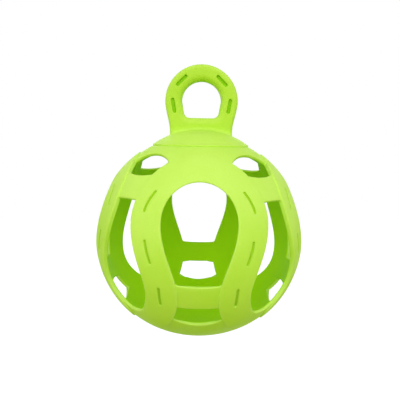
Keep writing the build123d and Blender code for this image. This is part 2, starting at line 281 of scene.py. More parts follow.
# -------------------------------- the flat drawing of the ball
window_widest = spot(WINDOW_HALF_WIDTH, WINDOW_WIDEST)
shoe_widest = spot(SHOE_HALF_WIDTH, SHOE_WIDEST)
window_top, shoe_top = spot(0, WINDOW_TOP), spot(0, SHOE_TOP)
heel_inner, heel_outer = spot(*HEEL_INNER), spot(*HEEL_OUTER)
waist_inner, waist_outer = spot(*WAIST_INNER), spot(*WAIST_OUTER)
DOWN, UP, IN_AND_UP = (0, -1), (0, 1), (-0.4, 1)
outer_edge = joined(
    quarter_ellipse((0, shoe_widest[1]), shoe_widest[0], shoe_top[1] - shoe_widest[1]),
    spline((shoe_widest, spot(*SHOE_FLANK), waist_outer), DOWN, DOWN),
    spline((waist_outer, heel_outer), DOWN, DOWN),
)
heel_edge = spline((heel_outer, spot(*HEEL_TIP), heel_inner), DOWN, IN_AND_UP)
inner_edge = joined(
    spline((heel_inner, waist_inner), IN_AND_UP, UP),
    spline((waist_inner, spot(*WINDOW_FLANK), window_widest), UP, UP),
    quarter_ellipse((0, window_widest[1]), window_widest[0], window_top[1] - window_widest[1])[::-1],
)
shoe_area = joined(outer_edge, heel_edge, inner_edge, [(-PAST, window_top[1]), (-PAST, shoe_top[1])])
window_area = joined(inner_edge, [(-PAST, window_top[1]), (-PAST, -FAR), (heel_inner[0], -FAR)])
outer_area = joined(
    outer_edge, [(heel_outer[0], -FAR), (FAR, -FAR), (FAR, FAR), (-PAST, FAR), (-PAST, shoe_top[1])]
)
outer_line, heel_line, inner_line = [onto_ball(e) for e in (outer_edge, heel_edge, inner_edge)]

# The right side of the loop, seen from the front, from the eye's level down to the neck's waist.
neck_waist = (NECK_HALF_WIDTH + NECK_FULLNESS, cap_top + NECK_WAIST_LEVEL)
neck_side = spline(((LOOP_RADIUS, eye_height), neck_waist), DOWN, DOWN, count=60)


def above(d, azimuth, elevation):
    """Distance above a level edge that is straight as seen from an azimuth."""
    facing = d @ directions(azimuth, 0)
    lift = radians(elevation)
    return BALL_RADIUS * np.arcsin(d[:, 2] * cos(lift) - facing * sin(lift))


def within(d, azimuth, cut):
    """Distance in from the edge of a round cutter, given as elevation and half-angle."""
    away = np.arccos(np.clip(d @ directions(azimuth, cut[0]), -1, 1))
    return BALL_RADIUS * (radians(cut[1]) - away)


def slot_depth_in(d):
    """Distance in from the edge of the nearest nail slot."""
    best = np.full(len(d), -np.inf)
    along = np.linspace(-1, 1, 7)[:, None]  # steps of a bowed slot
    for (azimuth, elevation, lean), extra, bow in zip(NAIL_SLOTS, NAIL_SLOT_EXTRA, NAIL_SLOT_BOW):
        facing, across = directions(azimuth, elevation), directions(azimuth + 90, 0)
        up = np.cross(facing, across)
        ahead = d @ facing
        flat = np.stack([d @ across, d @ up], -1) / np.maximum(ahead, NEARBY)[:, None] * BALL_RADIUS
        half = (NAIL_SLOT_LENGTH - NAIL_SLOT_WIDTH) / 2 + extra
        axis = np.array([-sin(radians(lean)), cos(radians(lean))])
        line = half * along * axis + bow * (1 - along**2) * (axis[1], -axis[0])
        near = NAIL_SLOT_WIDTH / 2 + NAIL_SLOT_EASE - distance(flat, line)
        best = np.maximum(best, np.where(ahead > NEARBY, near, -np.inf))
    return best


def drawing(azimuth, elevation):
    """How far places on the ball lie in from the edges of the shoe, the solid and the nail slots."""
    d = directions(azimuth, elevation)
    flat = BALL_RADIUS * d[:, [0, 2]] / -d[:, 1:2]
    points = BALL_RADIUS * d
    to_outer, to_heel, to_inner = [distance(points, e) for e in (outer_line, heel_line, inner_line)]
    to_shoe = np.minimum(np.minimum(to_outer, to_heel), to_inner)
    shoe = signed(to_shoe, inside(flat, shoe_area))
    in_window = signed(to_inner, inside(flat, window_area))
    beside_shoe = signed(np.minimum(to_outer, to_heel), inside(flat, outer_area))

    reach = waist_outer[0] / 2
    ends = spot(degrees(atan(reach / BALL_RADIUS)), CROSSBAR_TOP_ENDS)[1]
    middle = spot(0, CROSSBAR_TOP_MIDDLE)[1]
    top = middle + (ends - middle) * (flat[:, 0] / reach) ** 2
    bar_top = np.arctan(top * np.cos(np.radians(azimuth)) / BALL_RADIUS)
    above_bar = BALL_RADIUS * (np.radians(elevation) - bar_top)
    under_bar = -above(d, 0, CROSSBAR_BOTTOM)

    window = rounded(in_window, above_bar, OPENING_CORNER)
    heel_hole = rounded(under_bar, within(d, 0, HEEL_OPENING_CUT), HEEL_CORNER)
    heel_hole = rounded(in_window, heel_hole, HEEL_CORNER)
    under_bridge = -above(d, half_sector, BRIDGE_BOTTOM)
    gap = rounded(beside_shoe, under_bridge, OPENING_CORNER)
    over_bowl = np.maximum(within(d, half_sector, SIDE_GAP_CUT), above(d, half_sector, BOWL_TOP))
    gap = rounded(gap, over_bowl, GAP_CORNER)
    over_bridge = np.maximum(within(d, half_sector, BRIDGE_TOP_CUT), above(d, half_sector, BRIDGE_TOP))
    hole = rounded(within(d, half_sector, CROWN_ARCH_CUT), over_bridge, HOLE_CORNER)
    hole = rounded(hole, beside_shoe, HOLE_CORNER)
    solid = -np.maximum(np.maximum(window, heel_hole), np.maximum(gap, hole))
    return shoe, solid, slot_depth_in(d)


def ball_surface(elevation, radius):
    """Distance from the centre to the ball's surface, a little flattened and full underneath."""
    lift = np.radians(elevation)
    side = radius - FLATTEN_OFFSET
    tilt = radians(FLATTEN_ANGLE)
    base = side + FLATTEN_OFFSET / cos(tilt)
    turn = np.arctan2(-side * sin(tilt), FLATTEN_OFFSET + side * cos(tilt))

    def to_arc(across, up, reach):
        along = across * np.cos(lift) + up * np.sin(lift)
        return along + np.sqrt(along**2 - across**2 - up**2 + reach**2)

    under = to_arc(0, FLATTEN_OFFSET * tan(tilt), base)
    low = np.where(lift > turn, to_arc(FLATTEN_OFFSET, 0, side), under)
    share = np.clip((LOW_FULLNESS_START - elevation) / (LOW_FULLNESS_START + 90), 0, 1)
    return np.where(lift > 0, radius, low + LOW_FULLNESS * np.sin(pi * share) ** 2)


# -------------------------------- lines and triangles of a drawing
def level_lines(x, y, field, level):
    """Lines along which a field on a grid has a level."""
    f = field - level
    up = f > 0
    links = {}
    points = {}

    def crossing(i, j, side):
        k, m = (i, j + 1) if side else (i + 1, j)
        share = f[i, j] / (f[i, j] - f[k, m])
        points[(i, j, side)] = (x[j] + share * (x[m] - x[j]), y[i] + share * (y[k] - y[i]))
        return (i, j, side)

    ones = up.astype(int)
    corners_up = ones[:-1, :-1] + ones[1:, :-1] + ones[:-1, 1:] + ones[1:, 1:]
    for i, j in np.argwhere((corners_up > 0) & (corners_up < 4)):
        cut = []
        for a, b, side in ((i, j, 1), (i, j + 1, 0), (i + 1, j, 1), (i, j, 0)):
            k, m = (a, b + 1) if side else (a + 1, b)
            if up[a, b] != up[k, m]:
                cut.append(crossing(a, b, side))
        if len(cut) == 4 and up[i, j] == (f[i : i + 2, j : j + 2].mean() > 0):
            cut = cut[1:] + cut[:1]
        for a, b in zip(cut[::2], cut[1::2]):
            links.setdefault(a, []).append(b)
            links.setdefault(b, []).append(a)

    lines = []
    starts = [key for key, ends in links.items() if len(ends) == 1] + list(links)
    used = set()
    for start in starts:
        if start in used:
            continue
        line, key = [start], start
        used.add(start)
        while True:
            onward = [k for k in links[key] if k not in used]
            if not onward:
                if len(line) > 2 and start in links[key]:
                    line.append(start)
                break
            key = onward[0]
            used.add(key)
            line.append(key)
        lines.append(np.array([points[k] for k in line]))
    return lines


def thinned(places):
    """The few points of a line that keep it true; returns their indices."""
    keep, work = {0, len(places) - 1}, [(0, len(places) - 1)]
    while work:
        a, b = work.pop()
        if b - a < 2:
            continue
        away = distance(places[a + 1 : b], places[[a, b]])
        far = int(np.argmax(away))
        if away[far] < OUTLINE_TOLERANCE:
            if np.linalg.norm(places[b] - places[a]) < LONGEST_EDGE:
                continue
            far = (b - a) // 2 - 1
        middle = a + 1 + far
        keep.add(middle)
        work += [(a, middle), (middle, b)]
    return sorted(keep)


def triangulated(lines, singles, borders):
    """Triangles over lines and single points of a plane.

    Returns the points, the triangles, and the number of the region each triangle lies in; regions
    end at the lines whose numbers are given as borders.
    """
    points, edges, owners = [], [], []
    for number, line in enumerate(lines):
        first = len(points)
        closed = np.allclose(line[0], line[-1])
        body = line[:-1] if closed else line
        points.extend(body)
        run = [(first + i, first + i + 1) for i in range(len(body) - 1)]
        if closed:
            run.append((first + len(body) - 1, first))
        edges += run
        owners += [number in borders] * len(run)
    source = np.concatenate([points, singles])
    result = delaunay_2d_cdt([Vector(p) for p in source], edges, [], 0, WELD_DISTANCE, True)
    flat = np.array([tuple(v) for v in result[0]])
    for i, origin in enumerate(result[3]):
        if origin:
            flat[i] = source[origin[0]]
    triangles = [f for f in result[2] if len(f) == 3]
    parting = set()
    for edge, origins in zip(result[1], result[4]):
        if any(owners[i] for i in origins):
            parting.add(frozenset(edge))

    parent, seen = list(range(len(triangles))), {}

    def root(i):
        while parent[i] != i:
            parent[i] = i = parent[parent[i]]
        return i

    for i, (a, b, c) in enumerate(triangles):
        for edge in map(frozenset, ((a, b), (b, c), (c, a))):
            if edge not in parting:
                parent[root(i)] = root(seen.setdefault(edge, i))
    regions = np.unique([root(i) for i in range(len(triangles))], return_inverse=True)[1]
    return flat, np.array(triangles), regions.reshape(-1)


def averaged(values, area, regions):
    """Mean of values over each triangle's region, by area."""
    total = np.bincount(regions, area * values)
    return (total / np.maximum(np.bincount(regions, area), TINY))[regions]


def spread(singles, lines, measure, space):
    """Single points that keep a space from all line points."""
    taken = measure(np.concatenate(lines))
    keep = [np.min(((taken - p) ** 2).sum(1)) > space**2 for p in measure(singles)]
    return singles[np.array(keep)]


# -------------------------------- meshes
def make_piece(node, vertices, faces, edge_wear, painted_shade):
    """A closed mesh piece that stands for a CAD node. Vertices are in mm from the ball's centre.

    Wear is given for each vertex. Painted shade is given for each corner of each face: 0 in the
    open, 1 inside the ball, and below 0 in a slot.
    """
    name = f"{node}_rubber"
    mesh = bpy.data.meshes.new(name)
    placed = (np.asarray(vertices) - (0, 0, eye_height)) / 1000
    mesh.from_pydata(placed.tolist(), [], faces)
    mesh.polygons.foreach_set("use_smooth", [True] * len(mesh.polygons))
    mesh.set_sharp_from_angle(angle=radians(SHARP_ANGLE))
    measures = ("edge_wear", "POINT", edge_wear), ("painted_shade", "CORNER", painted_shade)
    for label, place, values in measures:
        attribute = mesh.attributes.new(label, "FLOAT", place)
        attribute.data.foreach_set("value", np.asarray(values, float))
    mesh.materials.append(rubber)
    piece = bpy.data.objects.new(name, mesh)
    bpy.context.scene.collection.objects.link(piece)
    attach(piece, "root")
    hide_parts(node)


def welded(vertices, triangles):
    """Points merged where they meet: the numbers of those that stay, and triangles over them."""
    places = np.round(vertices, WELD_DIGITS)
    _, first, index = np.unique(places, axis=0, return_index=True, return_inverse=True)
    triangles = index.reshape(-1)[triangles]
    a, b, c = triangles.T
    used, triangles = np.unique(triangles[(a != b) & (b != c) & (c != a)], return_inverse=True)
    return first[used], triangles.reshape(-1, 3)


def rim_edges(triangles):
    """Edges of one triangle only, in that triangle's direction."""
    edges = np.concatenate([triangles[:, [0, 1]], triangles[:, [1, 2]], triangles[:, [2, 0]]])
    known = set(map(tuple, edges.tolist()))
    return [e for e in known if e[::-1] not in known]


def two_sided(triangles, count):
    """Faces of a shell: its outer side, its inner side (numbers higher by count) and its walls."""
    faces = triangles.tolist() + (triangles[:, ::-1] + count).tolist()
    return faces + [(b, a, a + count, b + count) for a, b in rim_edges(triangles)]


def corner_painted_shade(triangles, outer, inner):
    """Painted shade at the face corners of a shell; its walls get none, as in the open."""
    sides = [outer[triangles].ravel(), inner[triangles[:, ::-1]].ravel()]
    return np.concatenate(sides + [np.zeros(4 * len(rim_edges(triangles)))])


def to_plane(places):
    """Azimuth and elevation in degrees to a plane that keeps angles."""
    azimuth, elevation = np.radians(places).T
    return BALL_RADIUS * np.stack([azimuth, np.arcsinh(np.tan(elevation))], -1)


def from_plane(flat):
    """The way back from to_plane."""
    azimuth, height = (flat / BALL_RADIUS).T
    return np.degrees(np.stack([azimuth, np.arctan(np.sinh(height))], -1))


def on_sphere(places):
    """Azimuth and elevation in degrees to points in space, for measuring in mm."""
    return BALL_RADIUS * directions(*places.T)


def bottom_rings(places):
    """Rings of points and triangles that close the drawing's foot at the pole."""
    row = np.flatnonzero(np.abs(places[:, 1] - LOW_ELEVATION) < SLIGHT)
    row = row[np.argsort(places[row, 0])]
    azimuths = places[row, 0]
    new, faces, count = [], [], len(places)
    for elevation in POLE_RINGS:
        ring = count + len(new) + np.arange(len(row))
        new.extend((azimuth, elevation) for azimuth in azimuths)
        for i in range(len(row) - 1):
            faces += [(ring[i], ring[i + 1], row[i + 1]), (ring[i], row[i + 1], row[i])]
        row = ring
    return np.array(new), np.array(faces)


def pulled(places, radius, share):
    """Places on the inside that make a window's walls run straight in, as a mould core leaves them."""
    d = directions(*places.T)
    p = d * (radius + SHOE_RELIEF)[:, None]
    depth = (radius - SKIN_WALL) ** 2 - p[:, 0] ** 2 - p[:, 2] ** 2  # under 1 only far from windows
    straight = np.stack([p[:, 0], -np.sqrt(np.maximum(depth, 1)), p[:, 2]], -1)
    straight /= np.linalg.norm(straight, axis=1)[:, None]
    d = d + share[:, None] * (straight - d)
    d /= np.linalg.norm(d, axis=1)[:, None]
    inner = np.degrees(np.stack([np.arctan2(d[:, 0], -d[:, 1]), np.arcsin(d[:, 2])], -1))
    return np.where(share[:, None] > SLIGHT, inner, places)


def filling(lines):
    """Points in rows, a step apart, that fill the ball's drawing between its lines."""
    step = degrees(MESH_STEP / BALL_RADIUS)
    rows = round((top_elevation - LOW_ELEVATION) / step / ROW_HEIGHT)
    singles = []
    for row, elevation in enumerate(np.linspace(LOW_ELEVATION, top_elevation, rows)):
        count = max(FEWEST_ACROSS, round(half_sector / step * cos(radians(elevation))))
        across = np.linspace(0, half_sector, count + 1)
        if row % 2 and row < rows - 1:
            across = np.concatenate([[0], (across[1:] + across[:-1]) / 2, [half_sector]])
        singles.extend((azimuth, elevation) for azimuth in across)
    return spread(np.array(singles), lines, on_sphere, CAGE_SPACE)


def cage():
    """All pieces of the ball below the cap."""
    azimuths = np.linspace(0, half_sector, round(half_sector / GRID_STEP) + 1)
    rows = round((top_elevation - LOW_ELEVATION) / GRID_STEP) + 1
    elevations = np.linspace(LOW_ELEVATION, top_elevation, rows)
    grid = np.stack(np.meshgrid(azimuths, elevations), -1)
    shoe, solid, slot = [f.reshape(grid.shape[:2]) for f in drawing(*grid.reshape(-1, 2).T)]
    solid_levels = [EDGE_ROUNDING * s for s in ROUNDING_STEPS]
    shoe_levels = [-FOOT_FILLET, -FOOT_FILLET / 2] + solid_levels
    lines, borders = [], set()
    for field, levels in ((solid, solid_levels), (shoe, shoe_levels), (slot, SLOT_LIP)):
        for level in levels:
            for line in level_lines(azimuths, elevations, field, level):
                line = line[thinned(on_sphere(line))]
                if field is shoe:  # it runs on across the openings, where it isn't wanted
                    keep = drawing(*line.T)[1] > -LONGEST_EDGE
                    line = line[keep] if keep.sum() > 1 else line[:0]
                if len(line) > 1:
                    if level == 0 and field is not slot:
                        borders.add(len(lines))
                    lines.append(line)
    singles = to_plane(filling(lines))
    flat, triangles, regions = triangulated([to_plane(line) for line in lines], singles, borders)
    places = from_plane(flat)
    places[:, 0] = snapped(places[:, 0], (0, half_sector), SAME_PLACE)

    # what each region is: which piece's skin, or an opening
    a, b, c = on_sphere(places)[triangles].transpose(1, 0, 2)
    area = np.linalg.norm(np.cross(b - a, c - a), axis=1) / 2
    middle = places[triangles].mean(1)
    in_shoe, in_solid = [averaged(f, area, regions) for f in drawing(*middle.T)[:2]]
    azimuth, elevation = [averaged(f, area, regions) for f in middle.T]
    kinds = np.select(
        [in_shoe > 0, elevation > BRIDGE_TOP, elevation > 0, elevation > CROSSBAR_BOTTOM],
        ["horseshoe", "crown_ring", "bridge_bar", "heel_crossbar"],
        "bottom_bowl",
    )
    pole_places, pole_triangles = bottom_rings(places)
    places = np.concatenate([places, pole_places])
    triangles = np.concatenate([triangles, pole_triangles])
    kinds = np.concatenate([kinds, ["bottom_bowl"] * len(pole_triangles)])
    keep = np.concatenate([in_solid > 0, [True] * len(pole_triangles)])

    # how far out each place lies: on the raised shoes, on the plain skin, and on the inner side
    shoe, solid, slot = drawing(*places.T)
    near_window = WINDOW_PULL * fading(distance(on_sphere(places), inner_line), WINDOW_REACH)
    solid = np.maximum(snapped(solid, solid_levels), 0)
    shoe = snapped(shoe, shoe_levels)
    slot = snapped(slot, SLOT_LIP)
    skin = ball_surface(places[:, 1], skin_radius)
    in_shoe = np.maximum(np.minimum(solid, shoe), 0)
    raised = skin + SHOE_RELIEF - drop(in_shoe, EDGE_ROUNDING)
    in_slot = np.interp(slot, SLOT_LIP, SLOT_FALL)
    raised -= NAIL_SLOT_DEPTH * in_slot
    foot = FOOT_RISE * np.clip(1 + shoe / FOOT_FILLET, 0, 1) ** 2
    plain = skin + foot - drop(solid, EDGE_ROUNDING)
    inner_places = pulled(places, skin, near_window)
    inner = ball_surface(inner_places[:, 1], inner_radius) + drop(solid, INNER_ROUNDING)
    wear, shoe_wear = fading(solid, WEAR_REACH), fading(in_shoe, WEAR_REACH)

    # the eighth, mirrored and turned, shared out among the pieces by name
    parts = {}
    for turn, side in enumerate(SIDES):
        for hand in (1, -1):
            for kind in np.unique(kinds):
                name = kind
                if kind in ("horseshoe", "heel_crossbar"):
                    name = f"{kind}_{side}"
                elif kind == "bridge_bar":
                    name = f"{kind}_{CORNERS[turn if hand > 0 else turn - 1]}"
                parts.setdefault(name, []).append((turn, hand, triangles[keep & (kinds == kind)]))
    for name, copies in parts.items():
        is_shoe = name.startswith("horseshoe")
        outside, worn = (raised, shoe_wear) if is_shoe else (plain, wear)
        vertices, inner_vertices, faces = [], [], []
        for copy, (turn, hand, own) in enumerate(copies):
            turned = 360 / len(SIDES) * turn
            vertices.append(directions(hand * places[:, 0] + turned, places[:, 1]) * outside[:, None])
            d = directions(hand * inner_places[:, 0] + turned, inner_places[:, 1])
            inner_vertices.append(d * inner[:, None])
            faces.append(own[:, ::hand] + copy * len(places))
        vertices, inner_vertices = np.concatenate(vertices), np.concatenate(inner_vertices)
        first, faces = welded(vertices, np.concatenate(faces))
        shell = np.concatenate([vertices[first], inner_vertices[first]])
        own = first % len(places)
        # painted shade on the nail slots' floors
        outer_painted_shade = NAIL_SLOT_FLOOR * in_slot[own] * is_shoe
        painted_shade = corner_painted_shade(faces, outer_painted_shade, np.full(len(own), INSIDE))
        make_piece(name, shell, two_sided(faces, len(own)), np.tile(worn[own], 2), painted_shade)


def hanger():
    """The hanging loop: half of it drawn in the upright plane, mirrored, and lifted to both faces."""
    top = quarter_ellipse((0, eye_height), LOOP_RADIUS, LOOP_RADIUS)
    edge = joined(top, neck_side, [(neck_side[-1, 0], rim_top)])
    area = joined(edge, [(-PAST, rim_top), (-PAST, eye_height + LOOP_RADIUS)])
    floor = eye_height - EYE_FLOOR

    def fields(flat):
        """Distances in from the loop's outline, out from its eye, and in from a slot's edge."""
        outer = signed(distance(flat, edge), inside(flat, area))
        ring = EYE_RADIUS - np.hypot(flat[:, 0], flat[:, 1] - eye_height)
        lean = (EYE_RADIUS - EYE_FLOOR_HALF_WIDTH) / EYE_FLOOR
        side = (EYE_RADIUS - flat[:, 0] - lean * (eye_height - flat[:, 1])) / sqrt(1 + lean**2)
        low = rounded(side, flat[:, 1] - floor, EYE_CORNER)
        eye = -np.where(flat[:, 1] > eye_height, ring, low)
        slot = np.full(len(flat), -np.inf)
        for angle in LOOP_SLOT_ANGLES:
            turn = radians(angle)
            centre = LOOP_SLOT_CIRCLE * np.array([cos(turn), sin(turn)]) + (0, eye_height)
            axis = (LOOP_SLOT_LENGTH - LOOP_SLOT_WIDTH) / 2 * np.array([-sin(turn), cos(turn)])
            run = distance(flat, np.array([centre - axis, centre + axis]))
            slot = np.maximum(slot, LOOP_SLOT_WIDTH / 2 + LOOP_SLOT_EASE - run)
        return outer, eye, slot

    x = np.linspace(0, LOOP_RADIUS + LOOP_MARGIN, LOOP_GRID[0])
    z = np.linspace(seam_height, eye_height + LOOP_RADIUS + LOOP_MARGIN, LOOP_GRID[1])
    grid = np.stack(np.meshgrid(x, z), -1)
    outer, eye, slot = [f.reshape(grid.shape[:2]) for f in fields(grid.reshape(-1, 2))]
    outer_levels = LOOP_ROUNDING * (1 - np.cos(QUARTER_TURN))
    eye_levels = EYE_ROUNDING * (1 - np.cos(QUARTER_TURN))
    lines, borders = [], set()
    for field, levels in ((outer, outer_levels), (eye, eye_levels), (slot, SLOT_LIP)):
        for level in levels:
            for line in level_lines(x, z, field, level):
                if level == 0 and field is not slot:
                    borders.add(len(lines))
                lines.append(line[thinned(line)])
    columns, rows = np.arange(0, x[-1], MESH_STEP), np.arange(seam_height, z[-1], MESH_STEP)
    singles = np.stack(np.meshgrid(columns, rows), -1).reshape(-1, 2)
    singles = spread(singles, lines, lambda flat: flat, LOOP_SPACE)
    flat, triangles, regions = triangulated(lines, singles, borders)
    a, b, c = flat[triangles].transpose(1, 0, 2)
    extent = np.abs(np.cross(b - a, c - a)) / 2
    in_outer, outside_eye = [averaged(f, extent, regions) for f in fields((a + b + c) / 3)[:2]]
    triangles = triangles[(in_outer > 0) & (outside_eye > 0)]
    outer, eye, slot = fields(flat)
    outer = np.maximum(snapped(outer, outer_levels), 0)
    eye = np.maximum(snapped(eye, eye_levels), 0)
    depth = LOOP_THICKNESS / 2 - drop(outer, LOOP_ROUNDING) - drop(eye, EYE_ROUNDING)
    in_slot = np.interp(snapped(slot, SLOT_LIP), SLOT_LIP, SLOT_FALL)
    depth -= LOOP_SLOT_DEPTH * in_slot
    wear = fading(np.minimum(outer, eye), LOOP_WEAR_REACH)

    both = np.concatenate([flat, flat * (-1, 1)])
    first, faces = welded(both, np.concatenate([triangles, triangles[:, ::-1] + len(flat)]))
    own = first % len(flat)
    front = np.stack([both[first, 0], -depth[own], both[first, 1]], -1)
    shell = np.concatenate([front, front * (1, -1, 1)])
    # painted shade on the floors of the loop's slots
    loop_slot_painted_shade = LOOP_SLOT_FLOOR * in_slot[own]
    painted_shade = corner_painted_shade(faces, loop_slot_painted_shade, loop_slot_painted_shade)
    make_piece("hanging_loop", shell, two_sided(faces, len(own)), np.tile(wear[own], 2), painted_shade)


def cap():
    """The cap: a boss under the loop that flares onto a dome, a proud edge, and a spigot below."""
    count = CAP_COUNT
    half_depth = LOOP_THICKNESS / 2

    def half_width(height):
        """Of the neck."""
        return np.interp(height, neck_side[::-1, 1], neck_side[::-1, 0])

    def dome(x, y, reach=CAP_DOME_RADIUS):
        """Height of a sphere about the dome's centre."""
        return dome_centre + np.sqrt(reach**2 - x**2 - y**2)

    # the boss's outline: straight runs and round corners, evenly walked, with its outward directions
    width = half_width(seam_height)
    corner = np.linspace(0, pi / 2, CORNER_STEPS)
    outline = []
    for k, (sx, sy) in enumerate(((1, -1), (1, 1), (-1, 1), (-1, -1))):
        for turn in corner + (k - 1) * pi / 2:
            x = sx * (width - LOOP_ROUNDING) + LOOP_ROUNDING * cos(turn)
            y = sy * (half_depth - LOOP_ROUNDING) + LOOP_ROUNDING * sin(turn)
            outline.append((x, y))
    outline = np.array(outline + outline[:1])
    run = np.concatenate([[0], np.cumsum(np.linalg.norm(np.diff(outline, axis=0), axis=1))])
    walk = np.linspace(0, run[-1], count, endpoint=False)
    base = np.stack([np.interp(walk, run, outline[:, 0]), np.interp(walk, run, outline[:, 1])], -1)
    core = np.stack([
        np.clip(base[:, 0], LOOP_ROUNDING - width, width - LOOP_ROUNDING),
        np.clip(base[:, 1], LOOP_ROUNDING - half_depth, half_depth - LOOP_ROUNDING),
    ], -1)
    out = (base - core) / np.linalg.norm(base - core, axis=1)[:, None]

    def section(height):
        """The outline, narrowed with the neck at this height."""
        narrowed = base.copy()
        narrowing = (width - half_width(height)) * np.abs(core[:, 0]) / (width - LOOP_ROUNDING)
        narrowed[:, 0] -= np.sign(core[:, 0]) * narrowing
        return narrowed

    # down the boss, out along its flare and over the dome to the rim
    rings = []
    top = np.full(count, seam_height)
    foot = section(top)
    for _ in range(3):  # the flare's start and the neck's width there settle together
        landing = foot + NECK_FLARE * out
        start = dome(*landing.T) + NECK_FLARE
        foot = section(np.minimum(start, seam_height))
    start = np.minimum(start, seam_height)
    for share in (0, 0.5):
        height = top + share * (start - top)
        rings.append(np.column_stack([section(height), height]))
    for turn in QUARTER_TURN:
        place = foot + NECK_FLARE * (1 - cos(turn)) * out
        height = np.maximum(start - NECK_FLARE * sin(turn), dome(*place.T))
        rings.append(np.column_stack([place, height]))
    far = landing + FAN_REACH * out
    angle = np.arctan2(far[:, 1], far[:, 0])
    circle = np.stack([np.cos(angle), np.sin(angle)], -1)
    rim = CAP_RADIUS - RIM_ROUNDING
    for share in np.linspace(0, 1, DOME_STEPS)[1:]:
        place = landing + share * (rim * circle - landing)
        rings.append(np.column_stack([place, dome(*place.T)]))

    # round rings: the rim, its groove, the seat, the spigot, its bore and the ceiling
    def turned(radius, height):
        rings.append(np.column_stack([radius * circle, np.full(count, height)]))

    rim_ring, rim_height = len(rings), dome(rim, 0)
    for turn in np.radians((22.5, 45, 67.5, 90)):
        turned(rim + RIM_ROUNDING * sin(turn), rim_height - RIM_ROUNDING * (1 - cos(turn)))
    turned(CAP_RADIUS, cap_seat + SEAM_GROOVE)
    rim_foot = len(rings) - 1
    turned(CAP_RADIUS - SEAM_GROOVE, cap_seat + SEAM_GROOVE / 2)
    for radius in (CAP_RADIUS - 2 * SEAM_GROOVE, *SEAT_RADII, SPIGOT_RADIUS + SPIGOT_CHAMFER):
        turned(radius, sqrt(skin_radius**2 - radius**2))
    shoulder = sqrt(skin_radius**2 - SPIGOT_RADIUS**2)
    spigot_foot = shoulder - SPIGOT_LENGTH
    bore = SPIGOT_RADIUS - SPIGOT_WALL
    turned(SPIGOT_RADIUS, shoulder - SPIGOT_CHAMFER)
    turned(SPIGOT_RADIUS, spigot_foot + INNER_ROUNDING)
    outer_side, bore_side = SPIGOT_RADIUS - INNER_ROUNDING, bore + INNER_ROUNDING
    for centre, turns in ((outer_side, (30, 60, 90)), (bore_side, (90, 120, 150, 180))):
        for turn in np.radians(turns):
            turned(centre + INNER_ROUNDING * cos(turn), spigot_foot + INNER_ROUNDING * (1 - sin(turn)))
    roof = CAP_DOME_RADIUS - CAP_WALL
    turned(bore, dome(bore, 0, roof) - ROOF_FILLET)
    over = np.linspace(bore - 3 * ROOF_FILLET, CEILING_HOLE, CEILING_STEPS)
    for radius in (bore - 0.3 * ROOF_FILLET, bore - ROOF_FILLET, *over):
        turned(radius, dome(radius, 0, roof) - drop(bore - radius, ROOF_FILLET))

    vertices = np.concatenate(rings + [[(0, 0, dome(0, 0, roof))]])
    faces = [tuple(range(count))]
    for r in range(len(rings) - 1):
        for i in range(count):
            a, b = r * count + i, r * count + (i + 1) % count
            faces.append((a, a + count, b + count, b))
    last = (len(rings) - 1) * count
    faces += [(last + i, len(vertices) - 1, last + (i + 1) % count) for i in range(count)]
    ring = np.arange(len(vertices)) // count
    wear = fading(ring - rim_ring, CAP_WEAR_RINGS)
    # painted shade on the cap's faces under its rim, inside the ball
    painted_shade = INSIDE * np.concatenate([ring[list(face)] > rim_foot for face in faces])
    make_piece("top_cap", vertices, faces, wear, painted_shade)


